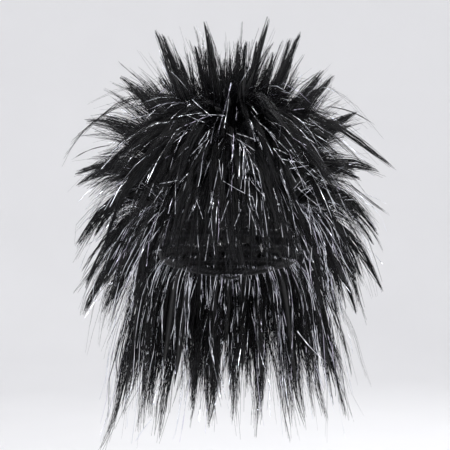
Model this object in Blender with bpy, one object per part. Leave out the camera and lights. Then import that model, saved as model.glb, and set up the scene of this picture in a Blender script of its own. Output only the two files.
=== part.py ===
"""Spiky mullet wig: a net cap with rows of weft sewn round it, each weft a tape with its locks of hair.

Metres, +Z up. The wearer faces -Y and the origin is the inside of the cap's crown.
Azimuth is measured from the front, positive towards +X; polar angle is measured from the crown.
"""

import random
from collections import namedtuple
from math import cos, degrees, radians, sin

import bmesh
import bpy
from mathutils import Vector

# Head that the cap fits, from its middle, which lies HEAD_HEIGHT below the crown
HEAD_HALF_WIDTH = 0.077
HEAD_FRONT = 0.090
HEAD_BACK = 0.100
HEAD_HEIGHT = 0.095

CAP_WALL = 0.0015
CAP_COLUMNS = 36
CAP_RINGS = 7
# Edge of the cap: azimuth and polar angle, in degrees, alike on both sides
CAP_EDGE = (
    (0, 54.6),
    (15, 57),
    (30, 66),
    (50, 80),
    (70, 93),
    (90, 103),
    (110, 110),
    (140, 117),
    (180, 124),
)

# Weft tape that carries the locks, and the gap between it and the cap
TAPE_GAP = 0.0006
TAPE_THICK = 0.0012
TAPE_HEIGHT = 0.0100

# Outer form of the spiked hair: how far its middle lies below the crown, and its reach from there
MIDDLE_DEPTH = 0.015
SPREAD_LEFT = 0.170
SPREAD_RIGHT = 0.160
SPREAD_FRONT = 0.132
SPREAD_BACK = 0.150
RISE = 0.160
DROP = 0.165

# Long hair: how wide and deep it hangs, and how far below the crown it ends
FALL_HALF_WIDTH = 0.112
FALL_DEPTH = 0.108
FALL_LENGTH = 0.345

# Thickness of a lock where it is fullest
TUFT_THICKNESS = 0.0085
SPIKE_THICKNESS = 0.0175
FRONT_THICKNESS = 0.0095
WISP_THICKNESS = 0.0045
FALL_THICKNESS = 0.0095

# A lock's outline: place along it, its width as a share of its root's, and its thickness as a
# share of the fullest
SPIKE_OUTLINE = ((0.20, 1.02, 1.00), (0.50, 1.02, 0.88), (0.79, 0.56, 0.48))
FRONT_OUTLINE = ((0.20, 1.06, 1.00), (0.50, 1.26, 0.90), (0.79, 0.74, 0.50))
FALL_OUTLINE = ((0.12, 0.98, 1.00), (0.36, 0.98, 1.00), (0.66, 0.92, 0.85), (0.88, 0.52, 0.45))
# Corners of a lock's section, in half widths and half thicknesses, in the order of its root
SECTION = ((-1, -0.5), (0, -1), (1, -0.5), (1, 0.5), (0, 1), (-1, 0.5))

# Unevenness of the styling: length and width as shares, directions in degrees
LENGTH_VARIES = 0.07
SHORT_LOCK = 0.87
TIP_VARIES = 2.6
TURN_VARIES = 0.16

# A weft of spiked hair: polar angle of the row, first and last azimuth, number of locks, polar
# angle at which the hair leaves the cap, polar angle of the tips from the hair's middle, reach as a
# share of the outer form, and bow, which is how far the bend lies along the lock
Spiked = namedtuple("Spiked", "name polar start end locks leave tip reach bow")
CROWN_WEFTS = (
    Spiked("crown_tuft", 9.5, -180, 180, 6, 11, 15, 0.98, 0.45),
    Spiked("crown_weft", 21.5, 56, 304, 11, 23, 31, 0.98, 0.45),
)
LAYER_WEFTS = (
    Spiked("layer_1_weft", 34, 50, 310, 16, 35, 48, 1.00, 0.45),
    Spiked("layer_2_weft", 47, 48, 312, 18, 49, 67, 1.00, 0.45),
    Spiked("layer_3_weft", 59.5, 50, 310, 18, 64, 86, 1.02, 0.45),
    Spiked("layer_4_weft", 71, 72, 288, 15, 82, 105, 1.06, 0.45),
    Spiked("layer_5_weft", 81.5, 71, 289, 14, 100, 121, 1.18, 0.45),
    Spiked("layer_6_weft", 92, 78, 282, 13, 116, 134, 1.30, 0.45),
)
# Wefts that are thrown forward, that hang beside the face, and the fringe
FRONT_WEFTS = (
    Spiked("front_upper_weft", 21.5, -46, 46, 7, 18, 93, 1.00, 0.55),
    Spiked("front_lower_weft", 34, -44, 44, 8, 46, 118, 1.00, 0.565),
)
TEMPLE_WEFTS = (
    Spiked("temple_left", 71, -69, -48, 3, 122, 141, 1.16, 0.28),
    Spiked("temple_right", 71, 48, 69, 3, 122, 141, 1.16, 0.28),
)
FRINGE_WEFTS = (Spiked("fringe_weft", 46, -43, 43, 13, 91, 137, 1.02, 0.30),)
# A weft of long hair: row, azimuths, locks, leaving angle and bow as above, how far out the tips
# hang and how far down they end, as shares of the long hair's sizes
Hanging = namedtuple("Hanging", "name polar start end locks leave out down bow")
FALL_WEFTS = (
    Hanging("fall_right", 102, 101, 150, 5, 141, 1.00, 0.91, 0.28),
    Hanging("fall_back", 102, 154, 206, 5, 141, 1.00, 0.97, 0.28),
    Hanging("fall_left", 102, 210, 259, 5, 141, 1.00, 0.96, 0.28),
    Hanging("inner_fall_right", 110, 126, 177, 4, 153, 0.84, 0.88, 0.28),
    Hanging("inner_fall_left", 110, 183, 234, 4, 153, 0.84, 0.92, 0.28),
    Hanging("nape_fall", 117.5, 161, 199, 3, 167, 0.68, 0.84, 0.28),
)

HAIR_COLOUR = (0.012, 0.012, 0.014, 1.0)
NET_COLOUR = (0.030, 0.030, 0.033, 1.0)
HAIR_ROUGHNESS = 0.42
NET_ROUGHNESS = 0.85


def clear_scene():
    for thing in list(bpy.data.objects):
        bpy.data.objects.remove(thing, do_unlink=True)


def plain_material(name, colour, roughness):
    material = bpy.data.materials.new(name)
    material.use_nodes = True
    shader = material.node_tree.nodes["Principled BSDF"]
    shader.inputs["Base Color"].default_value = colour
    shader.inputs["Roughness"].default_value = roughness
    shader.inputs["Metallic"].default_value = 0.0
    return material


def add_object(name, bm, colour, roughness):
    """Closes the shape's normals outwards and adds it to the scene with its own material."""
    bmesh.ops.recalc_face_normals(bm, faces=bm.faces)
    mesh = bpy.data.meshes.new(name)
    bm.to_mesh(mesh)
    bm.free()
    mesh.shade_smooth()
    mesh.set_sharp_from_angle(angle=radians(50))
    mesh.materials.append(plain_material(name, colour, roughness))
    thing = bpy.data.objects.new(name, mesh)
    bpy.context.scene.collection.objects.link(thing)
    return thing


def direction(azimuth, polar):
    a, p = radians(azimuth), radians(polar)
    return Vector((sin(p) * sin(a), -sin(p) * cos(a), cos(p)))


def on_cap(azimuth, polar, out):
    """The point that lies out from the cap's inner surface at these angles."""
    unit = direction(azimuth, polar)
    depth = HEAD_FRONT if unit.y < 0 else HEAD_BACK
    half = Vector((HEAD_HALF_WIDTH, depth, HEAD_HEIGHT))
    point = Vector(u * h for u, h in zip(unit, half))
    normal = Vector(u / h for u, h in zip(unit, half)).normalized()
    return point - Vector((0, 0, HEAD_HEIGHT)) + out * normal


def edge_polar(azimuth):
    """Polar angle of the cap's edge, read between the rows of its table."""
    a = abs((azimuth + 180) % 360 - 180)
    for (a0, p0), (a1, p1) in zip(CAP_EDGE, CAP_EDGE[1:]):
        if a <= a1:
            return p0 + (p1 - p0) * (a - a0) / (a1 - a0)
    return CAP_EDGE[-1][1]


def spiked_tip(row, azimuth, turn, share):
    """Where a spike ends: on the rounded outer form of the hair."""
    unit = direction(azimuth, row.tip + turn)
    reach = (
        SPREAD_RIGHT if unit.x > 0 else SPREAD_LEFT,
        SPREAD_BACK if unit.y > 0 else SPREAD_FRONT,
        RISE if unit.z > 0 else DROP,
    )
    tip = Vector(u * r for u, r in zip(unit, reach)) * row.reach * share
    return tip - Vector((0, 0, MIDDLE_DEPTH))


def hanging_tip(row, azimuth, turn, share):
    """Where a long lock ends: under the rim of hair, a share of the full length down."""
    flat = direction(azimuth + turn, 90) * row.out
    return Vector((flat.x * FALL_HALF_WIDTH, flat.y * FALL_DEPTH, -FALL_LENGTH * row.down * share))


def lock_rings(bm, root, tip, row, azimuth, width, thickness, outline):
    """Adds a lock's rings, which follow the curve from its root over its bend to its tip, and a point."""
    bend = root + direction(azimuth, row.leave) * row.bow * (tip - root).length
    across = direction(azimuth + 90, 90)
    rings = []
    for along, wide, thick in outline:
        centre = root.lerp(bend, along).lerp(bend.lerp(tip, along), along)
        heading = (bend - root).lerp(tip - bend, along).normalized()
        right = (across - across.dot(heading) * heading).normalized()
        up = heading.cross(right)
        rings.append([
            bm.verts.new(centre + right * u * wide * width / 2 + up * v * thick * thickness / 2)
            for u, v in SECTION
        ])
    return rings, bm.verts.new(tip)


def skin_lock(bm, rings, point):
    """Joins a lock's rings, from the root's corners to its point."""
    for low, high in zip(rings, rings[1:]):
        for i in range(len(SECTION)):
            j = (i + 1) % len(SECTION)
            bm.faces.new((low[i], low[j], high[j], high[i]))
    last = rings[-1]
    for i in range(len(SECTION)):
        bm.faces.new((last[i], last[(i + 1) % len(SECTION)], point))


def tape(bm, row):
    """Adds a weft's tape without its outer side. Returns each lock's root corners on that side."""
    closed = row.end - row.start == 360
    half_height = degrees(TAPE_HEIGHT / 2 / HEAD_HEIGHT)
    columns = []
    for i in range(2 * row.locks + (0 if closed else 1)):
        azimuth = row.start + (row.end - row.start) * i / (2 * row.locks)
        corners = (
            (half_height, TAPE_GAP),
            (-half_height, TAPE_GAP),
            (-half_height, TAPE_GAP + TAPE_THICK),
            (half_height, TAPE_GAP + TAPE_THICK),
        )
        columns.append([
            bm.verts.new(on_cap(azimuth, row.polar + down, CAP_WALL + out)) for down, out in corners
        ])
    if closed:
        columns.append(columns[0])
    for here, there in zip(columns, columns[1:]):
        for i, j in ((0, 1), (1, 2), (3, 0)):
            bm.faces.new((here[i], here[j], there[j], there[i]))
    if not closed:
        bm.faces.new(columns[0])
        bm.faces.new(columns[-1])
    roots = []
    for i in range(0, 2 * row.locks, 2):
        left, middle, right = columns[i:i + 3]
        roots.append([left[3], middle[3], right[3], right[2], middle[2], left[2]])
    return roots


def weft(row, tip_at, thickness, outline, seed):
    """A tape with its row of locks. tip_at(row, azimuth, turn, share) gives where a lock ends."""
    chance = random.Random(seed)
    bm = bmesh.new()
    step = (row.end - row.start) / row.locks
    for i, root in enumerate(tape(bm, row)):
        azimuth = row.start + step * (i + 0.5)
        middle = sum((corner.co for corner in root), Vector()) / len(root)
        width = (root[2].co - root[0].co).length
        share = 1 - chance.uniform(0, LENGTH_VARIES)
        share *= SHORT_LOCK if i % 2 else 1
        turned = azimuth + chance.uniform(-TURN_VARIES, TURN_VARIES) * step
        tip = tip_at(row, turned, chance.uniform(-TIP_VARIES, TIP_VARIES), share)
        rings, point = lock_rings(bm, middle, tip, row, azimuth, width, thickness, outline)
        skin_lock(bm, [root] + rings, point)
    add_object(row.name, bm, HAIR_COLOUR, HAIR_ROUGHNESS)


def wefts(table, tip_at, thickness, outline):
    for seed, row in enumerate(table):
        weft(row, tip_at, thickness, outline, seed)


def wig_cap():
    """The net cap: two skins from the crown to the edge, joined along the edge."""
    bm = bmesh.new()
    skins = []
    for out in (0, CAP_WALL):
        crown = bm.verts.new(on_cap(0, 0, out))
        rings = []
        for ring in range(1, CAP_RINGS + 1):
            angles = [360 * i / CAP_COLUMNS for i in range(CAP_COLUMNS)]
            rings.append([
                bm.verts.new(on_cap(a, edge_polar(a) * ring / CAP_RINGS, out)) for a in angles
            ])
        for i in range(CAP_COLUMNS):
            j = (i + 1) % CAP_COLUMNS
            bm.faces.new((crown, rings[0][i], rings[0][j]))
            for low, high in zip(rings, rings[1:]):
                bm.faces.new((low[i], high[i], high[j], low[j]))
        skins.append(rings[-1])
    inner, outer = skins
    for i in range(CAP_COLUMNS):
        j = (i + 1) % CAP_COLUMNS
        bm.faces.new((inner[i], outer[i], outer[j], inner[j]))
    add_object("wig_cap", bm, NET_COLOUR, NET_ROUGHNESS)


clear_scene()
wig_cap()
wefts(CROWN_WEFTS, spiked_tip, TUFT_THICKNESS, SPIKE_OUTLINE)
wefts(LAYER_WEFTS, spiked_tip, SPIKE_THICKNESS, SPIKE_OUTLINE)
wefts(FRONT_WEFTS, spiked_tip, FRONT_THICKNESS, FRONT_OUTLINE)
wefts(TEMPLE_WEFTS, spiked_tip, FRONT_THICKNESS, SPIKE_OUTLINE)
wefts(FRINGE_WEFTS, spiked_tip, WISP_THICKNESS, FRONT_OUTLINE)
wefts(FALL_WEFTS, hanging_tip, FALL_THICKNESS, FALL_OUTLINE)
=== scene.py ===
# %% [markdown]
# # A spiky mullet wig
#
# The real wig is an elastic net cap with rows of weft sewn round it. A weft is a narrow tape with
# hair stitched to it, and the styling gathers that hair into pointed locks. Among the black
# synthetic hair run strands of silver tinsel. The scene follows the same plan: it works out the
# path of every lock from the weft that carries it, grows strands of hair along that path with
# Geometry Nodes, and dresses the cap with its net, its hem and its tapes.

# %% Load the fixed frame
import random
from collections import namedtuple
from math import acos, atan2, cos, degrees, pi, radians, sin, sqrt, tau

import bmesh
import bpy
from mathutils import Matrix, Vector


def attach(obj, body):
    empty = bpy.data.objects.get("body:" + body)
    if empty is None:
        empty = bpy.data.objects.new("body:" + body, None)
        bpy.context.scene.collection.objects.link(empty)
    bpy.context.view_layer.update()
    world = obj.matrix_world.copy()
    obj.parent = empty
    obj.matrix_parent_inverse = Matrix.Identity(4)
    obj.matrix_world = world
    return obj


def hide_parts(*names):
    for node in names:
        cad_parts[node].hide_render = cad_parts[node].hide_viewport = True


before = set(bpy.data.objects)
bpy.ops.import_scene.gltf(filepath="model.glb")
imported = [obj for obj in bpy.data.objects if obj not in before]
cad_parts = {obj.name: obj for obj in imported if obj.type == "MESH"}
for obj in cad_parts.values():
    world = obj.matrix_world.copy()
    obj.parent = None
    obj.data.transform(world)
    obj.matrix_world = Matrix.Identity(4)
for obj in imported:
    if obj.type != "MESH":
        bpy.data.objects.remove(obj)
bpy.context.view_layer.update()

# %% [markdown]
# ## Camera
#
# The photograph was taken from straight ahead and a little above the middle of the wig, with a
# long lens. The camera's lens is worked out from how many metres a pixel covers at the wig, so a
# place in the photograph and the same place in a render can be compared directly.

# %% Camera at the photograph's angle
PHOTO_WIDTH = 450
METRES_PER_PIXEL = 0.00109      # at the middle of the wig
CAMERA_DISTANCE = 1.6
CAMERA_ELEVATION = radians(2.5)
CAMERA_TARGET = Vector((-0.0045, 0.0, -0.082))
SENSOR_WIDTH = 36.0

camera_data = bpy.data.cameras.new("camera")
camera_data.sensor_width = SENSOR_WIDTH
camera_data.lens = SENSOR_WIDTH * CAMERA_DISTANCE / (PHOTO_WIDTH * METRES_PER_PIXEL)
camera = bpy.data.objects.new("camera", camera_data)
bpy.context.scene.collection.objects.link(camera)
towards_camera = Vector((0, -cos(CAMERA_ELEVATION), sin(CAMERA_ELEVATION)))
camera.location = CAMERA_TARGET + CAMERA_DISTANCE * towards_camera
camera.rotation_euler = (-towards_camera).to_track_quat("-Z", "Y").to_euler()
bpy.context.scene.camera = camera
print("lens:", round(camera_data.lens, 1), "mm")

# %% [markdown]
# ## Nodes and colours
#
# Every material and every Geometry Nodes tree below is built with one small helper, which adds a
# node, sets its properties and fills its sockets with values or with links. Colours are written
# as the hex values that a paint program shows, and one function turns them into the linear
# numbers that the renderer works with.

# %% Helpers for nodes and colours
def add(tree, kind, sockets=None, **settings):
    """Adds a node. sockets maps a socket's name or number to a value, or to an output to link."""
    node = tree.nodes.new(kind)
    for name, value in settings.items():
        setattr(node, name, value)
    for name, value in (sockets or {}).items():
        if isinstance(value, bpy.types.NodeSocket):
            tree.links.new(value, node.inputs[name])
        else:
            node.inputs[name].default_value = value
    return node


def linear(hex_colour):
    """The linear colour, with alpha, of an sRGB hex value such as #1c1d20."""
    parts = [int(hex_colour[i:i + 2], 16) / 255 for i in (1, 3, 5)]
    return tuple(p / 12.92 if p <= 0.04045 else ((p + 0.055) / 1.055) ** 2.4 for p in parts) + (1.0,)


def new_material(name):
    """A material with its node tree and its Principled shader."""
    material = bpy.data.materials.new(name)
    material.use_nodes = True
    return material, material.node_tree, material.node_tree.nodes["Principled BSDF"]


def link_object(name, mesh):
    thing = bpy.data.objects.new(name, mesh)
    bpy.context.scene.collection.objects.link(thing)
    return thing


# %% [markdown]
# ## Studio
#
# A product photographer hangs a roll of paper that curves from the floor up the wall, so that no
# edge shows behind the object. Here the paper goes all the way round, as a wide shallow bowl with
# upright sides, because the wig is looked at from every side. The light is soft: large area
# lights in front, above and behind, and a pale sky that comes in over the rim of the bowl.

# %% Studio bowl
FLOOR_HEIGHT = -0.62
FLOOR_RADIUS = 2.4
SWEEP_RADIUS = 0.9
WALL_TOP = 3.0
BOWL_SIDES = 96
SWEEP_STEPS = 12

profile = [(0.0, FLOOR_HEIGHT), (FLOOR_RADIUS, FLOOR_HEIGHT)]
for step in range(1, SWEEP_STEPS + 1):
    turn = pi / 2 * step / SWEEP_STEPS
    profile.append((
        FLOOR_RADIUS + SWEEP_RADIUS * sin(turn),
        FLOOR_HEIGHT + SWEEP_RADIUS * (1 - cos(turn)),
    ))
profile.append((FLOOR_RADIUS + SWEEP_RADIUS, WALL_TOP))
bowl_points = [(0.0, 0.0, FLOOR_HEIGHT)]
for radius, height in profile[1:]:
    for side in range(BOWL_SIDES):
        turn = tau * side / BOWL_SIDES
        bowl_points.append((radius * cos(turn), radius * sin(turn), height))
bowl_faces = []
for side in range(BOWL_SIDES):
    after = (side + 1) % BOWL_SIDES
    bowl_faces.append((0, 1 + side, 1 + after))
    for ring in range(len(profile) - 2):
        low = 1 + ring * BOWL_SIDES
        high = low + BOWL_SIDES
        bowl_faces.append((low + side, high + side, high + after, low + after))
bowl_mesh = bpy.data.meshes.new("studio_bowl")
bowl_mesh.from_pydata(bowl_points, [], bowl_faces)
bowl_mesh.shade_smooth()
studio_bowl = link_object("studio_bowl", bowl_mesh)
print("studio bowl:", len(bowl_faces), "faces")

# %% Backdrop paper
backdrop_paper, tree, shader = new_material("matte_backdrop_paper")
# Unglazed paper from a roll: no gloss and hardly any grain, which keeps the background quiet
place = add(tree, "ShaderNodeTexCoord")
grain = add(tree, "ShaderNodeTexNoise", {"Vector": place.outputs["Object"], "Scale": 3.0, "Detail": 2.0})
tint = add(
    tree, "ShaderNodeMix",
    {"Factor": grain.outputs["Fac"], "A": linear("#e8e8e9"), "B": linear("#eeeeef")},
    data_type="RGBA",
)
tree.links.new(tint.outputs["Result"], shader.inputs["Base Color"])
shader.inputs["Roughness"].default_value = 0.9
shader.inputs["Specular IOR Level"].default_value = 0.2
bowl_mesh.materials.append(backdrop_paper)

# %% Soft studio light
SOFTBOXES = (
    # name, place in metres, side length in metres, power in watts
    ("key_softbox", (-1.3, -1.7, 1.2), 1.0, 23),
    ("fill_softbox", (1.6, -1.4, 0.5), 1.2, 13),
    ("top_softbox", (0.1, 0.2, 1.7), 1.0, 10),
    ("rear_softbox", (0.9, 1.8, 0.9), 1.0, 11),
)
for name, place, size, power in SOFTBOXES:
    light_data = bpy.data.lights.new(name, "AREA")
    light_data.shape = "SQUARE"
    light_data.size = size
    light_data.energy = power
    light = bpy.data.objects.new(name, light_data)
    bpy.context.scene.collection.objects.link(light)
    light.location = place
    light.rotation_euler = (Vector((0, 0, -0.1)) - light.location).to_track_quat("-Z", "Y").to_euler()
    light.visible_camera = False

world = bpy.data.worlds.new("studio_world")
bpy.context.scene.world = world
world.use_nodes = True
sky = world.node_tree.nodes["Background"]
sky.inputs["Color"].default_value = linear("#f2f2f5")
sky.inputs["Strength"].default_value = 0.93
bpy.context.scene.view_settings.view_transform = "Standard"
print("softboxes:", len(SOFTBOXES))

# %% [markdown]
# ## The plan of the wefts
#
# The wig is modelled from a few tables: the rounded form that the cap fits, and one row for each
# weft with its height on the cap, the arc that it covers, how many locks it has and where their tips
# go. The scene repeats those values, because a strand of hair has to start on the tape that holds
# it and end in the tip of its lock. Angles are in degrees: azimuth is measured from the front,
# positive towards +X, and the polar angle from the crown.

# %% Sizes of the cap and of the outer form
HEAD_HALF_WIDTH = 0.077
HEAD_FRONT = 0.090
HEAD_BACK = 0.100
HEAD_HEIGHT = 0.095
CAP_WALL = 0.0015
CAP_EDGE = (
    (0, 54.6),
    (15, 57),
    (30, 66),
    (50, 80),
    (70, 93),
    (90, 103),
    (110, 110),
    (140, 117),
    (180, 124),
)
TAPE_GAP = 0.0006
TAPE_THICK = 0.0012
TAPE_HEIGHT = 0.0100
MIDDLE_DEPTH = 0.015
SPREAD_LEFT = 0.170
SPREAD_RIGHT = 0.160
SPREAD_FRONT = 0.132
SPREAD_BACK = 0.150
RISE = 0.160
DROP = 0.165
FALL_HALF_WIDTH = 0.112
FALL_DEPTH = 0.108
FALL_LENGTH = 0.345

# %% Tables of the wefts
SPIKE_OUTLINE = ((0.20, 1.02, 1.00), (0.50, 1.02, 0.88), (0.79, 0.56, 0.48))
FRONT_OUTLINE = ((0.20, 1.06, 1.00), (0.50, 1.26, 0.90), (0.79, 0.74, 0.50))
FALL_OUTLINE = ((0.12, 0.98, 1.00), (0.36, 0.98, 1.00), (0.66, 0.92, 0.85), (0.88, 0.52, 0.45))
LENGTH_VARIES = 0.07
SHORT_LOCK = 0.87
TIP_VARIES = 2.6
TURN_VARIES = 0.16

Spiked = namedtuple("Spiked", "name polar start end locks leave tip reach bow")
CROWN_WEFTS = (
    Spiked("crown_tuft", 9.5, -180, 180, 6, 11, 15, 0.98, 0.45),
    Spiked("crown_weft", 21.5, 56, 304, 11, 23, 31, 0.98, 0.45),
)
LAYER_WEFTS = (
    Spiked("layer_1_weft", 34, 50, 310, 16, 35, 48, 1.00, 0.45),
    Spiked("layer_2_weft", 47, 48, 312, 18, 49, 67, 1.00, 0.45),
    Spiked("layer_3_weft", 59.5, 50, 310, 18, 64, 86, 1.02, 0.45),
    Spiked("layer_4_weft", 71, 72, 288, 15, 82, 105, 1.06, 0.45),
    Spiked("layer_5_weft", 81.5, 71, 289, 14, 100, 121, 1.18, 0.45),
    Spiked("layer_6_weft", 92, 78, 282, 13, 116, 134, 1.30, 0.45),
)
FRONT_WEFTS = (
    Spiked("front_upper_weft", 21.5, -46, 46, 7, 18, 93, 1.00, 0.55),
    Spiked("front_lower_weft", 34, -44, 44, 8, 46, 118, 1.00, 0.565),
)
TEMPLE_WEFTS = (
    Spiked("temple_left", 71, -69, -48, 3, 122, 141, 1.16, 0.28),
    Spiked("temple_right", 71, 48, 69, 3, 122, 141, 1.16, 0.28),
)
FRINGE_WEFTS = (Spiked("fringe_weft", 46, -43, 43, 13, 91, 137, 1.02, 0.30),)
Hanging = namedtuple("Hanging", "name polar start end locks leave out down bow")
FALL_WEFTS = (
    Hanging("fall_right", 102, 101, 150, 5, 141, 1.00, 0.91, 0.28),
    Hanging("fall_back", 102, 154, 206, 5, 141, 1.00, 0.97, 0.28),
    Hanging("fall_left", 102, 210, 259, 5, 141, 1.00, 0.96, 0.28),
    Hanging("inner_fall_right", 110, 126, 177, 4, 153, 0.84, 0.88, 0.28),
    Hanging("inner_fall_left", 110, 183, 234, 4, 153, 0.84, 0.92, 0.28),
    Hanging("nape_fall", 117.5, 161, 199, 3, 167, 0.68, 0.84, 0.28),
)

# %% [markdown]
# ## The path of a lock
#
# A lock leaves its tape in one direction, bends, and runs out to its tip, so its middle line is a
# quadratic curve through three points. Across the curve, the lock has a width and a thickness
# that an outline table gives along its length. Everything that follows is placed in those terms:
# how far along the lock, how far across it, and how far over it.

# %% Points on the cap
def direction(azimuth, polar):
    a, p = radians(azimuth), radians(polar)
    return Vector((sin(p) * sin(a), -sin(p) * cos(a), cos(p)))


def on_cap(azimuth, polar, out):
    """The point that lies out from the cap's inner surface at these angles."""
    unit = direction(azimuth, polar)
    depth = HEAD_FRONT if unit.y < 0 else HEAD_BACK
    half = Vector((HEAD_HALF_WIDTH, depth, HEAD_HEIGHT))
    point = Vector(u * h for u, h in zip(unit, half))
    normal = Vector(u / h for u, h in zip(unit, half)).normalized()
    return point - Vector((0, 0, HEAD_HEIGHT)) + out * normal


def edge_polar(azimuth):
    """Polar angle of the cap's edge, read between the rows of its table."""
    a = abs((azimuth + 180) % 360 - 180)
    for (a0, p0), (a1, p1) in zip(CAP_EDGE, CAP_EDGE[1:]):
        if a <= a1:
            return p0 + (p1 - p0) * (a - a0) / (a1 - a0)
    return CAP_EDGE[-1][1]


def spiked_tip(row, azimuth, turn, share):
    """Where a spike ends: on the rounded outer form of the hair."""
    unit = direction(azimuth, row.tip + turn)
    reach = (
        SPREAD_RIGHT if unit.x > 0 else SPREAD_LEFT,
        SPREAD_BACK if unit.y > 0 else SPREAD_FRONT,
        RISE if unit.z > 0 else DROP,
    )
    tip = Vector(u * r for u, r in zip(unit, reach)) * row.reach * share
    return tip - Vector((0, 0, MIDDLE_DEPTH))


def hanging_tip(row, azimuth, turn, share):
    """Where a long lock ends: under the rim of hair, a share of the full length down."""
    flat = direction(azimuth + turn, 90) * row.out
    return Vector((flat.x * FALL_HALF_WIDTH, flat.y * FALL_DEPTH, -FALL_LENGTH * row.down * share))


# %% Locks of a weft
class Lock:
    """One lock: its curve from root over bend to tip, and its section along that curve."""

    def __init__(self, root, bend, tip, across, width, thickness, outline):
        self.root, self.bend, self.tip = root, bend, tip
        self.across, self.width, self.thickness = across, width, thickness
        self.outline = [(0.0, width, thickness)]
        self.outline += [(t, w * width, h * thickness) for t, w, h in outline]
        self.outline.append((1.0, 0.0, 0.0))

    def centre(self, along):
        return self.root.lerp(self.bend, along).lerp(self.bend.lerp(self.tip, along), along)

    def axes(self, along):
        """The directions across the lock and over it."""
        heading = (self.bend - self.root).lerp(self.tip - self.bend, along).normalized()
        right = (self.across - self.across.dot(heading) * heading).normalized()
        return right, heading.cross(right)

    def section(self, along):
        """The lock's width and thickness, read between the rows of its outline."""
        for (t0, w0, h0), (t1, w1, h1) in zip(self.outline, self.outline[1:]):
            if along <= t1:
                share = (along - t0) / (t1 - t0)
                return w0 + (w1 - w0) * share, h0 + (h1 - h0) * share
        return 0.0, 0.0


def locks_of(row, tip_at, thickness, outline, seed):
    """The locks of a weft, with the same random draws in the same order as the solids have."""
    chance = random.Random(seed)
    step = (row.end - row.start) / row.locks
    half_height = degrees(TAPE_HEIGHT / 2 / HEAD_HEIGHT)
    out = CAP_WALL + TAPE_GAP + TAPE_THICK
    locks = []
    for i in range(row.locks):
        azimuth = row.start + step * (i + 0.5)
        low = [on_cap(azimuth + side * step, row.polar + half_height, out) for side in (-0.5, 0, 0.5)]
        high = [on_cap(azimuth + side * step, row.polar - half_height, out) for side in (-0.5, 0, 0.5)]
        root = sum(low + high, Vector()) / 6
        width = (low[2] - low[0]).length
        share = 1 - chance.uniform(0, LENGTH_VARIES)
        share *= SHORT_LOCK if i % 2 else 1
        turned = azimuth + chance.uniform(-TURN_VARIES, TURN_VARIES) * step
        tip = tip_at(row, turned, chance.uniform(-TIP_VARIES, TIP_VARIES), share)
        bend = root + direction(azimuth, row.leave) * row.bow * (tip - root).length
        locks.append(Lock(root, bend, tip, direction(azimuth + 90, 90), width, thickness, outline))
    return locks


# %% All locks by weft
TUFT_THICKNESS = 0.0085
SPIKE_THICKNESS = 0.0175
FRONT_THICKNESS = 0.0095
WISP_THICKNESS = 0.0045
FALL_THICKNESS = 0.0095

Kind = namedtuple("Kind", "wefts tip_at thickness outline")
KINDS = {
    "crown": Kind(CROWN_WEFTS, spiked_tip, TUFT_THICKNESS, SPIKE_OUTLINE),
    "layer": Kind(LAYER_WEFTS, spiked_tip, SPIKE_THICKNESS, SPIKE_OUTLINE),
    "front": Kind(FRONT_WEFTS, spiked_tip, FRONT_THICKNESS, FRONT_OUTLINE),
    "temple": Kind(TEMPLE_WEFTS, spiked_tip, FRONT_THICKNESS, SPIKE_OUTLINE),
    "fringe": Kind(FRINGE_WEFTS, spiked_tip, WISP_THICKNESS, FRONT_OUTLINE),
    "fall": Kind(FALL_WEFTS, hanging_tip, FALL_THICKNESS, FALL_OUTLINE),
}
locks_by_weft = {}
kind_of = {}
for kind_name, kind in KINDS.items():
    for seed, row in enumerate(kind.wefts):
        locks_by_weft[row.name] = locks_of(row, kind.tip_at, kind.thickness, kind.outline, seed)
        kind_of[row.name] = kind_name
print("locks:", sum(len(locks) for locks in locks_by_weft.values()), "on", len(locks_by_weft), "wefts")

# %% [markdown]
# ## Guide lines
#
# A groomer doesn't place every hair. A few guide lines lead, and the hairs between them follow.
# Each lock gets one main guide that ends in its point, a few side guides for the thinner spikes
# that split off, and some wisps that stay loose and fill the gaps to the next lock. A guide is a
# chain of points in a mesh. Each point carries two vectors, for how far its hairs spread across
# the lock and over it, and each guide carries how many hairs follow it, how short the shortest is
# cut and how thick they are.

# %% Guides of a lock
GOLDEN_TURN = radians(137.508)
GUIDE_POINTS = 9

Guide = namedtuple("Guide", "points across over strands shortest size")
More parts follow.
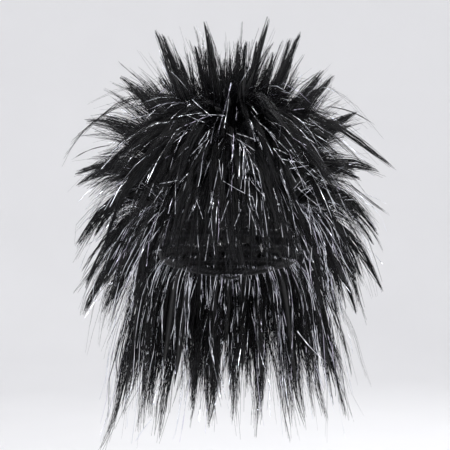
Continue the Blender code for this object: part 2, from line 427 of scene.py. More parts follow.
# How a kind of hair is groomed. main: hairs on the main guide. sides, hairs: number of side guides
# and hairs on each. wisps, few: the same for wisps. points: points in a hair. split: how far the
# side guides' tips stand apart. short, long: their lengths as shares of the lock. sag, hang: how
# far a level tip sinks, and how much more a guide does at random. sweep, late: how far a lock at
# the side is swept outwards, and how late. arch, stray: how far a guide arches off the cap and how
# far it strays. wave: the height of a wave
Groom = namedtuple(
    "Groom", "main sides hairs wisps few points split short long sag hang sweep late arch stray wave"
)
GROOMS = {
    "crown": Groom(44, 5, 11, 5, 5, 6, 0.022, 0.74, 1.02, 0.0, 0.0, 0.0, 1.5, 0.004, 0.014, 0.010),
    "layer": Groom(40, 5, 11, 5, 5, 6, 0.022, 0.70, 1.03, 0.024, 0.01, 0.0, 1.5, 0.008, 0.014, 0.012),
    "low_layer": Groom(36, 5, 11, 5, 5, 7, 0.018, 0.64, 1.04, 0.030, 0.04, 0.0, 1.5, 0.008, 0.015, 0.014),
    "front": Groom(34, 7, 12, 7, 6, 7, 0.030, 0.46, 1.06, 0.006, 0.0, 0.076, 1.3, 0.022, 0.036, 0.018),
    "temple": Groom(36, 5, 14, 5, 6, 7, 0.014, 0.60, 1.06, 0.0, 0.02, 0.020, 1.5, 0.010, 0.018, 0.012),
    "fringe": Groom(14, 3, 8, 3, 4, 7, 0.012, 0.50, 1.04, 0.0, 0.0, 0.030, 1.5, 0.006, 0.012, 0.012),
    "closing": Groom(20, 3, 8, 3, 5, 6, 0.020, 0.60, 1.04, 0.0, 0.0, 0.0, 1.5, 0.006, 0.022, 0.012),
    "fall": Groom(42, 6, 14, 5, 6, 8, 0.014, 0.58, 1.04, 0.0, 0.0, 0.030, 5.0, 0.010, 0.026, 0.028),
}
LOW_LAYERS = ("layer_4_weft", "layer_5_weft", "layer_6_weft")
LIFT = 0.012            # how far the middle of a level lock arches up
TIP_SPREAD = 0.0008     # half width that a guide's hairs keep at its tip
# Half width of a bundle as a share of the lock's, how late it narrows, its shortest hair as a share
# of the longest, and the thickness of its hairs
Body = namedtuple("Body", "half tuck shortest size")
MAIN_BODY = Body(0.42, 2.0, 0.90, 1.15)
LONG_BODY = Body(0.52, 3.0, 0.70, 1.15)
SIDE_BODY = Body(0.26, 1.6, 0.78, 0.95)
WISP_BODY = Body(0.36, 3.0, 0.60, 0.55)

# Walls round the wig's outer form. Past a wall, a guide keeps only the share PRESSED of its way
WALL_FRONT = -0.126
WALL_BACK = 0.142
WALL_SIDE = 0.168
WALL_BELOW = -0.338
PRESSED = 0.15


def groom_of(weft_name):
    return GROOMS["low_layer" if weft_name in LOW_LAYERS else kind_of[weft_name]]


def pressed(point):
    """The point, moved back if it is outside the walls, by most of the way that it is outside."""
    point.y += (1 - PRESSED) * (max(0, WALL_FRONT - point.y) - max(0, point.y - WALL_BACK))
    point.z += (1 - PRESSED) * max(0, WALL_BELOW - point.z)
    beyond = max(0, abs(point.x) - WALL_SIDE)
    point.x -= (1 - PRESSED) * beyond * (1 if point.x > 0 else -1)
    return point


def groomed(lock, groom, along, sag):
    """A point of the lock's middle line, after sweeping it outwards and letting its end sink."""
    reach = lock.tip - lock.root
    level = reach.xy.length / reach.length
    point = lock.centre(along)
    point.x += groom.sweep * lock.tip.x / SPREAD_RIGHT * along ** groom.late
    point.z += level ** 2 * (LIFT * sin(pi * min(along, 1)) - sag * along ** 3)
    return point


def guide_line(lock, groom, place, length, stir, body, strands):
    """One guide. stir is how far its end strays, how much its end sinks and how far it arches."""
    side, rise = place
    drift, sag, arch = stir
    points, across, over = [], [], []
    for i in range(GUIDE_POINTS):
        share = i / (GUIDE_POINTS - 1)
        along = length * share
        width, thickness = lock.section(along)
        right, up = lock.axes(along)
        fan = groom.split * along ** 1.5
        point = groomed(lock, groom, along, sag)
        point += right * side * (width * 0.38 + fan) + up * rise * (thickness * 0.38 + fan)
        point += drift * along ** 1.5 + up * arch * sin(pi * min(along, 1))
        full = body.half * (1 - share ** body.tuck)
        points.append(pressed(point))
        across.append(right * (lock.width * full + TIP_SPREAD))
        over.append(up * (lock.thickness * full + TIP_SPREAD))
    return Guide(points, across, over, strands, body.shortest, body.size)


def lock_guides(lock, groom, chance):
    """The main guide of a lock, its side guides and its wisps."""
    def stirred(share, droop):
        drift = Vector([chance.uniform(-1, 1) for axis in range(3)]) * groom.stray * share
        return drift, groom.sag + groom.hang * chance.uniform(0, droop), groom.arch * chance.uniform(0, share)

    main_body = LONG_BODY if groom is GROOMS["fall"] else MAIN_BODY
    length = chance.uniform(1.0, 1.06)
    guides = [guide_line(lock, groom, (0, 0), length, stirred(0.4, 0.4), main_body, groom.main)]
    for number in range(groom.sides):
        turn = GOLDEN_TURN * number + chance.uniform(0, 1.2)
        radius = sqrt((number + 1) / groom.sides)
        place = (radius * cos(turn), radius * sin(turn))
        length = chance.uniform(groom.short, groom.long)
        guides.append(guide_line(lock, groom, place, length, stirred(1, 1), SIDE_BODY, groom.hairs))
    for number in range(groom.wisps):
        place = (chance.uniform(-1, 1), chance.uniform(-1, 1))
        length = chance.uniform(groom.short, 1.04)
        guides.append(guide_line(lock, groom, place, length, stirred(1.6, 1.4), WISP_BODY, groom.few))
    return guides


def guide_mesh(name, guides):
    """A mesh of one chain of points for each guide, with what its hairs need stored on it."""
    points, edges = [], []
    for guide in guides:
        first = len(points)
        points += guide.points
        edges += [(i, i + 1) for i in range(first, len(points) - 1)]
    mesh = bpy.data.meshes.new(name)
    mesh.from_pydata(points, edges, [])
    for field in ("across", "over"):
        layer = mesh.attributes.new(field, "FLOAT_VECTOR", "POINT")
        vectors = [vector for guide in guides for vector in getattr(guide, field)]
        layer.data.foreach_set("vector", [number for vector in vectors for number in vector])
    for field in ("strands", "shortest", "size"):
        layer = mesh.attributes.new(field, "FLOAT", "POINT")
        layer.data.foreach_set("value", [getattr(guide, field) for guide in guides for p in guide.points])
    return mesh


# %% [markdown]
# ## Strands from guides
#
# This tree turns guides into hair, and later into tinsel. It copies each guide many times, gives
# every copy its own place in the clump and its own length, bends it with noise, and sweeps a
# triangle along it. Three sides are the fewest that enclose a strand, and smooth shading makes
# them look round. Real fibres are under 0.1 mm thick. The thickest are drawn about seven times
# that, a little over half a pixel of the render, so that some 21,000 of them cover the cap.
#
# Each strand also stores a place on a map: its own tone from left to right, and its length from
# bottom to top. The materials read nothing else, so a strand has one colour all round.

# %% Geometry Nodes tree for strands
strand_tree = bpy.data.node_groups.new("strands_from_guides", "GeometryNodeTree")
strand_tree.is_modifier = True
STRAND_INPUTS = (
    ("Guides", "NodeSocketGeometry"),
    ("Points per strand", "NodeSocketInt"),
    ("Radius", "NodeSocketFloat"),
    ("Flatness", "NodeSocketFloat"),
    ("Taper", "NodeSocketFloat"),
    ("Smooth", "NodeSocketBool"),
    ("Twist", "NodeSocketFloat"),
    ("Wave height", "NodeSocketFloat"),
    ("Wave scale", "NodeSocketFloat"),
    ("Looseness", "NodeSocketFloat"),
    ("Flyaway", "NodeSocketFloat"),
    ("Seed", "NodeSocketInt"),
    ("Material", "NodeSocketMaterial"),
)
for name, kind_of_socket in STRAND_INPUTS:
    strand_tree.interface.new_socket(name, in_out="INPUT", socket_type=kind_of_socket)
strand_tree.interface.new_socket("Strands", in_out="OUTPUT", socket_type="NodeSocketGeometry")
given = add(strand_tree, "NodeGroupInput").outputs

# What each guide carries
told = {}
for name, form in (
    ("across", "FLOAT_VECTOR"),
    ("over", "FLOAT_VECTOR"),
    ("strands", "FLOAT"),
    ("shortest", "FLOAT"),
    ("size", "FLOAT"),
):
    reading = add(strand_tree, "GeometryNodeInputNamedAttribute", {"Name": name}, data_type=form)
    told[name] = reading.outputs["Attribute"]

# Copies of the guides, each with random numbers of its own
curves = add(strand_tree, "GeometryNodeMeshToCurve", {"Mesh": given["Guides"]})
copies = add(
    strand_tree, "GeometryNodeDuplicateElements",
    {"Geometry": curves.outputs["Curve"], "Amount": told["strands"]},
    domain="SPLINE",
)
place = add(
    strand_tree, "FunctionNodeRandomValue",
    {0: (-1.0, -1.0, -1.0), 1: (1.0, 1.0, 1.0), "Seed": given["Seed"]},
    data_type="FLOAT_VECTOR",
)
second_seed = add(strand_tree, "ShaderNodeMath", {0: given["Seed"], 1: 1.0}, operation="ADD")
tone = add(
    strand_tree, "FunctionNodeRandomValue",
    {2: 0.0, 3: 1.0, "Seed": second_seed.outputs["Value"]},
    data_type="FLOAT",
)
own = add(
    strand_tree, "GeometryNodeCaptureAttribute",
    {"Geometry": copies.outputs["Geometry"]},
    domain="CURVE",
)
own.capture_items.new("VECTOR", "Place")
own.capture_items.new("FLOAT", "Tone")
strand_tree.links.new(place.outputs[0], own.inputs["Place"])
strand_tree.links.new(tone.outputs[1], own.inputs["Tone"])
parts = add(strand_tree, "ShaderNodeSeparateXYZ", {"Vector": own.outputs["Place"]}).outputs

# Uneven lengths, cut by the strand's third random number
cut = add(
    strand_tree, "ShaderNodeMapRange",
    {"Value": parts["Z"], "From Min": -1.0, "From Max": 1.0, "To Min": told["shortest"], "To Max": 1.0},
)
trimmed = add(
    strand_tree, "GeometryNodeTrimCurve",
    {"Curve": own.outputs["Geometry"], "End": cut.outputs["Result"]},
    mode="FACTOR",
)
even = add(
    strand_tree, "GeometryNodeResampleCurve",
    {"Curve": trimmed.outputs["Curve"], "Count": given["Points per strand"]},
    mode="COUNT",
)
factor = add(strand_tree, "GeometryNodeSplineParameter").outputs["Factor"]

# Place in the clump: a few strands fly further out towards their tips
stray = add(
    strand_tree, "ShaderNodeMapRange",
    {
        "Value": own.outputs["Tone"],
        "From Min": 0.80,
        "From Max": 1.0,
        "To Min": 0.0,
        "To Max": given["Flyaway"],
    },
)
stray_along = add(
    strand_tree, "ShaderNodeMath", {0: stray.outputs["Result"], 1: factor}, operation="MULTIPLY",
)
widen = add(strand_tree, "ShaderNodeMath", {0: stray_along.outputs["Value"], 1: 1.0}, operation="ADD")
offset = None
for spread, amount in ((told["across"], parts["X"]), (told["over"], parts["Y"])):
    scaled = add(strand_tree, "ShaderNodeVectorMath", {0: spread, "Scale": amount}, operation="SCALE")
    offset = add(
        strand_tree, "ShaderNodeVectorMath",
        {0: scaled.outputs["Vector"], 1: offset.outputs["Vector"] if offset else (0.0, 0.0, 0.0)},
        operation="ADD",
    )
offset = add(
    strand_tree, "ShaderNodeVectorMath",
    {0: offset.outputs["Vector"], "Scale": widen.outputs["Value"]},
    operation="SCALE",
)
placed = add(
    strand_tree, "GeometryNodeSetPosition",
    {"Geometry": even.outputs["Curve"], "Offset": offset.outputs["Vector"]},
)

# Waves: noise that neighbours nearly share, and that grows from nothing at the root
where = add(strand_tree, "GeometryNodeInputPosition")
coarse = add(
    strand_tree, "ShaderNodeVectorMath",
    {0: where.outputs["Position"], "Scale": given["Wave scale"]},
    operation="SCALE",
)
loose = add(
    strand_tree, "ShaderNodeVectorMath",
    {0: own.outputs["Place"], "Scale": given["Looseness"]},
    operation="SCALE",
)
sample = add(
    strand_tree, "ShaderNodeVectorMath",
    {0: coarse.outputs["Vector"], 1: loose.outputs["Vector"]},
    operation="ADD",
)
noise = add(
    strand_tree, "ShaderNodeTexNoise",
    {"Vector": sample.outputs["Vector"], "Scale": 1.0, "Detail": 1.0},
)
centred = add(
    strand_tree, "ShaderNodeVectorMath",
    {0: noise.outputs["Color"], 1: (0.5, 0.5, 0.5)},
    operation="SUBTRACT",
)
growing = add(strand_tree, "ShaderNodeMath", {0: given["Wave height"], 1: factor}, operation="MULTIPLY")
wave = add(
    strand_tree, "ShaderNodeVectorMath",
    {0: centred.outputs["Vector"], "Scale": growing.outputs["Value"]},
    operation="SCALE",
)
waved = add(
    strand_tree, "GeometryNodeSetPosition",
    {"Geometry": placed.outputs["Geometry"], "Offset": wave.outputs["Vector"]},
)

# Twist, taper and the sweep
turns = add(strand_tree, "ShaderNodeMath", {0: factor, 1: given["Twist"]}, operation="MULTIPLY")
start_turn = add(
    strand_tree, "ShaderNodeMath",
    {0: own.outputs["Tone"], 1: 40.0, 2: turns.outputs["Value"]},
    operation="MULTIPLY_ADD",
)
twisted = add(
    strand_tree, "GeometryNodeSetCurveTilt",
    {"Curve": waved.outputs["Geometry"], "Tilt": start_turn.outputs["Value"]},
)
fall_off = add(strand_tree, "ShaderNodeMath", {0: factor, 1: 3.0}, operation="POWER")
loss = add(
    strand_tree, "ShaderNodeMath",
    {0: fall_off.outputs["Value"], 1: given["Taper"]},
    operation="MULTIPLY",
)
narrow = add(strand_tree, "ShaderNodeMath", {0: 1.0, 1: loss.outputs["Value"]}, operation="SUBTRACT")
sized = add(strand_tree, "ShaderNodeMath", {0: told["size"], 1: given["Radius"]}, operation="MULTIPLY")
radius = add(
    strand_tree, "ShaderNodeMath",
    {0: narrow.outputs["Value"], 1: sized.outputs["Value"]},
    operation="MULTIPLY",
)
marked = add(
    strand_tree, "GeometryNodeCaptureAttribute",
    {"Geometry": twisted.outputs["Curve"]},
    domain="POINT",
)
marked.capture_items.new("FLOAT", "Along")
strand_tree.links.new(factor, marked.inputs["Along"])
triangle = add(
    strand_tree, "GeometryNodeCurvePrimitiveCircle", {"Resolution": 3, "Radius": 1.0}, mode="RADIUS",
)
squash = add(strand_tree, "ShaderNodeCombineXYZ", {"X": 1.0, "Y": given["Flatness"], "Z": 1.0})
flat = add(
    strand_tree, "GeometryNodeTransform",
    {"Geometry": triangle.outputs["Curve"], "Scale": squash.outputs["Vector"]},
)
sided = add(
    strand_tree, "GeometryNodeCaptureAttribute",
    {"Geometry": flat.outputs["Geometry"]},
    domain="POINT",
)
sided.capture_items.new("FLOAT", "Side")
index = add(strand_tree, "GeometryNodeInputIndex")
strand_tree.links.new(index.outputs["Index"], sided.inputs["Side"])
swept = add(
    strand_tree, "GeometryNodeCurveToMesh",
    {
        "Curve": marked.outputs["Geometry"],
        "Profile Curve": sided.outputs["Geometry"],
        "Scale": radius.outputs["Value"],
        "Fill Caps": True,
    },
)

# Place on the map, then smooth shading, plain mesh and material
MAP_STRIP = 0.004
left = add(
    strand_tree, "ShaderNodeMath", {0: own.outputs["Tone"], 1: 0.97, 2: 0.01}, operation="MULTIPLY_ADD",
)
column = add(
    strand_tree, "ShaderNodeMath",
    {0: sided.outputs["Side"], 1: MAP_STRIP, 2: left.outputs["Value"]},
    operation="MULTIPLY_ADD",
)
level = add(
    strand_tree, "ShaderNodeMath", {0: marked.outputs["Along"], 1: 0.96, 2: 0.02}, operation="MULTIPLY_ADD",
)
spot = add(strand_tree, "ShaderNodeCombineXYZ", {"X": column.outputs["Value"], "Y": level.outputs["Value"]})
mapped = add(
    strand_tree, "GeometryNodeStoreNamedAttribute",
    {"Geometry": swept.outputs["Mesh"], "Name": "OFBake", "Value": spot.outputs["Vector"]},
    data_type="FLOAT2", domain="CORNER",
)
smooth = add(
    strand_tree, "GeometryNodeSetShadeSmooth",
    {"Geometry": mapped.outputs["Geometry"], "Shade Smooth": given["Smooth"]},
)
plain = add(strand_tree, "GeometryNodeRealizeInstances", {"Geometry": smooth.outputs["Geometry"]})
finished = add(
    strand_tree, "GeometryNodeSetMaterial",
    {"Geometry": plain.outputs["Geometry"], "Material": given["Material"]},
)
add(strand_tree, "NodeGroupOutput", {"Strands": finished.outputs["Geometry"]})
print("strand tree:", len(strand_tree.nodes), "nodes")


# %% Grow strands on guides
def nodes_to_mesh(name, mesh, tree, values):
    """The plain mesh that a tree makes of a mesh, as an object with no modifier."""
    carrier = link_object(name + "_carrier", mesh)
    modifier = carrier.modifiers.new("nodes", "NODES")
    modifier.node_group = tree
    for item in tree.interface.items_tree:
        if item.in_out == "INPUT" and item.name in values:
            modifier[item.identifier] = values[item.name]
    bpy.context.view_layer.update()
    depsgraph = bpy.context.evaluated_depsgraph_get()
    result = bpy.data.meshes.new_from_object(carrier.evaluated_get(depsgraph))
    bpy.data.objects.remove(carrier)
    result.name = name
    return link_object(name, result)


def triangles(thing):
    return sum(len(face.vertices) - 2 for face in thing.data.polygons)


# %% [markdown]
# ## Hair fibre
#
# Costume hair is mostly modacrylic fibre, spun through fine holes and coloured before it is spun.
# Its skin is smooth, so a strand catches a narrow grey highlight along its length, and the black
# stays neutral to slightly cool. No two strands are equally dark, and the ends look a little greyer
# where the fibre is thinned. The tone comes from the strand's place on its map.

# %% Black modacrylic hair fibre
hair_fibre, tree, shader = new_material("black_modacrylic_hair_fibre")
on_map = add(tree, "ShaderNodeUVMap", uv_map="OFBake")
split_map = add(tree, "ShaderNodeSeparateXYZ", {"Vector": on_map.outputs["UV"]})
tones = add(tree, "ShaderNodeValToRGB", {"Fac": split_map.outputs["X"]})
tones.color_ramp.elements[0].color = linear("#030304")
tones.color_ramp.elements[1].color = linear("#18181b")
middle_tone = tones.color_ramp.elements.new(0.55)
middle_tone.color = linear("#08080a")
ends = add(
    tree, "ShaderNodeMapRange",
    {"Value": split_map.outputs["Y"], "From Min": 0.6, "From Max": 1.0, "To Min": 0.0, "To Max": 0.2},
)
fibre_colour = add(
    tree, "ShaderNodeMix",
    {"Factor": ends.outputs["Result"], "A": tones.outputs["Color"], "B": linear("#2c2c31")},
    data_type="RGBA",
)
tree.links.new(fibre_colour.outputs["Result"], shader.inputs["Base Color"])
shader.inputs["Roughness"].default_value = 0.25
shader.inputs["IOR"].default_value = 1.52
shader.inputs["Specular IOR Level"].default_value = 0.26

# %% Settings that every kind of hair shares
STRAND_RADIUS = 0.00033         # of the circle round a strand's three-sided section
SHORT_TAPER = 0.75              # how much a short or loose strand narrows towards its tip
HAIR_STRANDS = {
    "Radius": STRAND_RADIUS,
    "Flatness": 1.0,
    "Taper": 0.62,
    "Smooth": True,
    "Twist": 0.0,
    "Wave scale": 16.0,
    "Looseness": 0.35,
    "Flyaway": 4.0,
    "Material": hair_fibre,
}

# %% Hair on every weft
hair_pieces = []
for number, (weft_name, locks) in enumerate(locks_by_weft.items()):
    groom = groom_of(weft_name)
    chance = random.Random(100 + number)
    guides = [guide for lock in locks for guide in lock_guides(lock, groom, chance)]
    hair = nodes_to_mesh(weft_name + "_hair", guide_mesh(weft_name + "_guides", guides), strand_tree, {
        **HAIR_STRANDS,
        "Points per strand": groom.points,
        "Wave height": groom.wave,
        "Seed": number,
    })
    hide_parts(weft_name)
    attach(hair, "root")
    hair_pieces.append(hair)
    print(hair.name, len(guides), "guides,", triangles(hair), "triangles")
print("hair in all:", sum(triangles(hair) for hair in hair_pieces), "triangles")

# %% [markdown]
# ## Closing hair
#
# The wefts leave a bare ring at the crown, where they meet, and a bare arc behind the front rows.
# A wig maker can close such gaps with short hair knotted into the net. These locks are rooted in
# the net itself. The ones at the crown stand up, and the ones of the arc lean forwards, where they
# break up the line from which the front hair falls.

# %% Short locks knotted into the net
CROWN_LOCKS = 6
ARC_LOCKS = 11
ARC_SPAN = 110          # degrees of azimuth that the arc covers, across the front
ARC_POLAR = 15.5
KNOTTED_WIDTH = 0.013
KNOTTED_SEED = 61

closing_locks = []
chance = random.Random(KNOTTED_SEED)
for number in range(CROWN_LOCKS + ARC_LOCKS):
    if number < CROWN_LOCKS:
        azimuth, polar = 360 * number / CROWN_LOCKS, 1 + 5 * (number % 2)
        ending, reach, bow = 3 * polar, chance.uniform(0.08, 0.12), 0.5
    else:
        azimuth = ARC_SPAN * ((number - CROWN_LOCKS + 0.5) / ARC_LOCKS - 0.5)
        polar, ending = ARC_POLAR, chance.uniform(38, 78)
        reach, bow = chance.uniform(0.07, 0.105), 0.4
    root = on_cap(azimuth, polar, CAP_WALL)
    tip = root + reach * direction(azimuth * chance.uniform(0.8, 1.5), ending)
    bend = root + direction(azimuth, polar) * bow * reach
    across = direction(azimuth + 90, 90)
    closing_locks.append(Lock(root, bend, tip, across, KNOTTED_WIDTH, KNOTTED_WIDTH, SPIKE_OUTLINE))
guides = [guide for lock in closing_locks for guide in lock_guides(lock, GROOMS["closing"], chance)]
closing_hair = nodes_to_mesh("closing_hair", guide_mesh("closing_guides", guides), strand_tree, {
    **HAIR_STRANDS,
    "Points per strand": GROOMS["closing"].points,
    "Taper": SHORT_TAPER,
    "Wave height": GROOMS["closing"].wave,
    "Seed": KNOTTED_SEED,
})
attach(closing_hair, "root")
print(closing_hair.name, len(closing_locks), "locks,", triangles(closing_hair), "triangles")

# %% [markdown]
# ## Stray wisps
#
# The photo shows a few thin wisps that have come loose from their locks: a loop and a hook beside
# the long hair, some that stand off at the sides, and some that hang under the fringe. No rule
# would put them there, so they are drawn one by one, each as a curve that three places in the
# picture and a depth lay down. The same tree grows their few hairs.

# %% Wisps drawn one by one
PICTURE_MIDDLE = (229, 152)     # where the frame's origin is in the picture
MILLIMETRES_PER_PIXEL = 1.12    # the scale that the solids were sized with, 3% over the camera's
DRAWN_SHORTEST = 0.75           # shortest hair of a drawn wisp, as a share of its guide
DRAWN_SIZE = 0.7                # thickness of its hairs, as a share of a full strand's


def from_picture(column, row, depth):
    across, up = column - PICTURE_MIDDLE[0], PICTURE_MIDDLE[1] - row
    return Vector((across * MILLIMETRES_PER_PIXEL / 1000, depth, up * MILLIMETRES_PER_PIXEL / 1000))


def drawn_guide(places, depth, half, strands):
    """A guide along the curve that starts at the first place, bends at the second and ends at the last."""
    start, bend, end = [from_picture(column, row, depth) for column, row in places]
    points = []
    for i in range(GUIDE_POINTS):
        along = i / (GUIDE_POINTS - 1)
        points.append(start.lerp(bend, along).lerp(bend.lerp(end, along), along))
    across = [Vector((half * (1.2 - i / GUIDE_POINTS), 0, 0)) for i in range(GUIDE_POINTS)]
    over = [Vector((0, half, 0)) for i in range(GUIDE_POINTS)]
    return Guide(points, across, over, strands, DRAWN_SHORTEST, DRAWN_SIZE)


STRAY_WISPS = (
    # three places in the picture as (column, row), depth in metres, negative towards the camera
    (((150, 298), (110, 342), (118, 374)), 0.020),
    (((148, 346), (138, 366), (117, 373)), 0.025),
    (((345, 186), (366, 204), (385, 216)), -0.020),
    (((340, 205), (368, 224), (379, 252)), -0.010),
    (((325, 110), (350, 112), (371, 128)), 0.010),
    (((112, 148), (92, 150), (76, 162)), 0.000),
    (((190, 236), (186, 252), (176, 268)), -0.100),
    (((236, 236), (244, 258), (247, 280)), -0.105),
    (((262, 232), (276, 246), (284, 266)), -0.100),
)
STRAY_HALF_WIDTH = 0.0016
STRAY_HAIRS = 9
stray_guides = [
    drawn_guide(places, depth, STRAY_HALF_WIDTH, STRAY_HAIRS) for places, depth in STRAY_WISPS
]
strays = nodes_to_mesh("stray_wisps", guide_mesh("stray_guides", stray_guides), strand_tree, {
    **HAIR_STRANDS,
    "Points per strand": 12,
    "Taper": SHORT_TAPER,
    "Wave height": 0.004,
    "Wave scale": 30.0,
    "Looseness": 0.5,
    "Flyaway": 2.0,
    "Seed": 77,
})
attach(strays, "root")
print(strays.name, len(stray_guides), "wisps,", triangles(strays), "triangles")

# %% [markdown]
# ## Net cap
#
# The cap is a dome of knitted polyester net, open enough to let air through. A regular net over a
# dome could be drawn as rings and columns, but they crowd together at the crown. An icosphere has
# faces of nearly one size everywhere, and its dual, which puts a point in each face, is a net of
# hexagons. The ball is cut off at the cap's edge and laid on the cap, and the tree turns its dual
# into threads. Real holes are about 3 mm wide. They are drawn at 7 mm, so that they show.

# %% Part of a ball laid on the cap
NET_LEVELS = 5
NET_TUCK = 2.0          # degrees by which the net stays inside the cap's edge, under the hem

ball = bmesh.new()
bmesh.ops.create_icosphere(ball, subdivisions=NET_LEVELS, radius=1)
beyond = []
for point in ball.verts:
    azimuth = degrees(atan2(point.co.x, -point.co.y))
    polar = degrees(acos(max(-1, min(1, point.co.z))))
    if polar > edge_polar(azimuth) - NET_TUCK:
        beyond.append(point)
    else:
        point.co = on_cap(azimuth, polar, CAP_WALL / 2)
bmesh.ops.delete(ball, geom=beyond, context="VERTS")
dome_mesh = bpy.data.meshes.new("net_dome")
ball.to_mesh(dome_mesh)
ball.free()
print("net:", len(dome_mesh.vertices), "holes")

# %% Geometry Nodes tree for the net
net_tree = bpy.data.node_groups.new("net_from_dome", "GeometryNodeTree")
net_tree.is_modifier = True
for name, kind_of_socket in (
    ("Dome", "NodeSocketGeometry"),
    ("Thread radius", "NodeSocketFloat"),
    ("Material", "NodeSocketMaterial"),
):
    net_tree.interface.new_socket(name, in_out="INPUT", socket_type=kind_of_socket)
net_tree.interface.new_socket("Net", in_out="OUTPUT", socket_type="NodeSocketGeometry")
given = add(net_tree, "NodeGroupInput").outputs
dual = add(net_tree, "GeometryNodeDualMesh", {"Mesh": given["Dome"]})
lines = add(net_tree, "GeometryNodeMeshToCurve", {"Mesh": dual.outputs["Dual Mesh"]})
triangle = add(
    net_tree, "GeometryNodeCurvePrimitiveCircle", {"Resolution": 3, "Radius": 1.0}, mode="RADIUS",
)
threads = add(
    net_tree, "GeometryNodeCurveToMesh",
    {
        "Curve": lines.outputs["Curve"],
        "Profile Curve": triangle.outputs["Curve"],
        "Scale": given["Thread radius"],
        "Fill Caps": True,
    },
)
smooth = add(net_tree, "GeometryNodeSetShadeSmooth", {"Geometry": threads.outputs["Mesh"]})
plain = add(net_tree, "GeometryNodeRealizeInstances", {"Geometry": smooth.outputs["Geometry"]})
finished = add(
    net_tree, "GeometryNodeSetMaterial",
    {"Geometry": plain.outputs["Geometry"], "Material": given["Material"]},
)
add(net_tree, "NodeGroupOutput", {"Net": finished.outputs["Geometry"]})

# %% Black polyester net yarn
net_yarn, tree, shader = new_material("black_polyester_net_yarn")
# A dull textured yarn: charcoal beside the glossy hair, with lighter knots where it is worn
place = add(tree, "ShaderNodeTexCoord")
wear = add(tree, "ShaderNodeTexNoise", {"Vector": place.outputs["Object"], "Scale": 220.0, "Detail": 3.0})
yarn_tones = add(
    tree, "ShaderNodeMix",
    {"Factor": wear.outputs["Fac"], "A": linear("#1d1d20"), "B": linear("#3a3a3f")},
    data_type="RGBA",
)
tree.links.new(yarn_tones.outputs["Result"], shader.inputs["Base Color"])
shader.inputs["Roughness"].default_value = 0.80
shader.inputs["Sheen Weight"].default_value = 0.25

# %% Net
net_cap = nodes_to_mesh("net_cap", dome_mesh, net_tree, {"Thread radius": 0.00032, "Material": net_yarn})
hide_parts("wig_cap")
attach(net_cap, "root")
print(net_cap.name, triangles(net_cap), "triangles")

# %% [markdown]
# ## Hem and tapes
#
# A flat elastic band runs round the cap's edge and keeps it in place. The wefts are sewn to the
# net by their tapes. Both are woven ribbons with rounded edges, so one function lays a ribbon on
# the cap: it takes the ribbon's middle line in angles and sweeps a flat section along it. The map
# of a ribbon is in millimetres along and across, which lets the weave have its real spacing.

# %% Ribbon on the cap
RIBBON_SECTION = ((-1, 0.25), (-0.94, 0), (0.94, 0), (1, 0.25), (1, 0.75), (0.94, 1), (-0.94, 1), (-1, 0.75))
MILLIMETRE = 0.001


def ribbon(points, faces, spots, line, width, low, high, closed):
    """Adds a ribbon: line is its middle in (azimuth, polar), low and high its sides off the cap."""
    half = degrees(width / 2 / HEAD_HEIGHT)
    first = len(points)
    count = len(RIBBON_SECTION)
    along = [0.0]
    for azimuth, polar in line:
        for across, rise in RIBBON_SECTION:
            points.append(on_cap(azimuth, polar + half * across, low + (high - low) * rise))
    for i in range(1, len(line) + (1 if closed else 0)):
        here = points[first + (i - 1) * count]
        there = points[first + i % len(line) * count]
        along.append(along[-1] + (there - here).length)
    for i in range(len(along) - 1):
        this, following = first + i * count, first + (i + 1) % len(line) * count
        for j in range(count):
            k = (j + 1) % count
            faces.append((this + j, following + j, following + k, this + k))
            v0, v1 = width * j / count, width * (j + 1) / count
            spots.append([(along[i], v0), (along[i + 1], v0), (along[i + 1], v1), (along[i], v1)])
    if not closed:
        faces.append([first + j for j in range(count)])
        faces.append([first + (len(line) - 1) * count + j for j in reversed(range(count))])
        spots.append([(0.0, MILLIMETRE * j) for j in range(count)])
        spots.append([(along[-1], MILLIMETRE * j) for j in reversed(range(count))])


def ribbon_piece(name, points, faces, spots, material):
    """A closed mesh of ribbons, with its map in millimetres and its faces turned outwards."""
    mesh = bpy.data.meshes.new(name)
    mesh.from_pydata(points, [], faces)
    layer = mesh.uv_layers.new(name="weave")
    layer.data.foreach_set("uv", [n / MILLIMETRE for face in spots for spot in face for n in spot])
    turned = bmesh.new()
    turned.from_mesh(mesh)
    bmesh.ops.recalc_face_normals(turned, faces=turned.faces)
    turned.to_mesh(mesh)
    turned.free()
    mesh.shade_smooth()
    mesh.set_sharp_from_angle(angle=radians(50))
    mesh.materials.append(material)
    return link_object(name, mesh)


# %% Woven elastic and weft tape
WAVE_PERIOD = 0.314         # a wave texture of scale 1 repeats after so many units


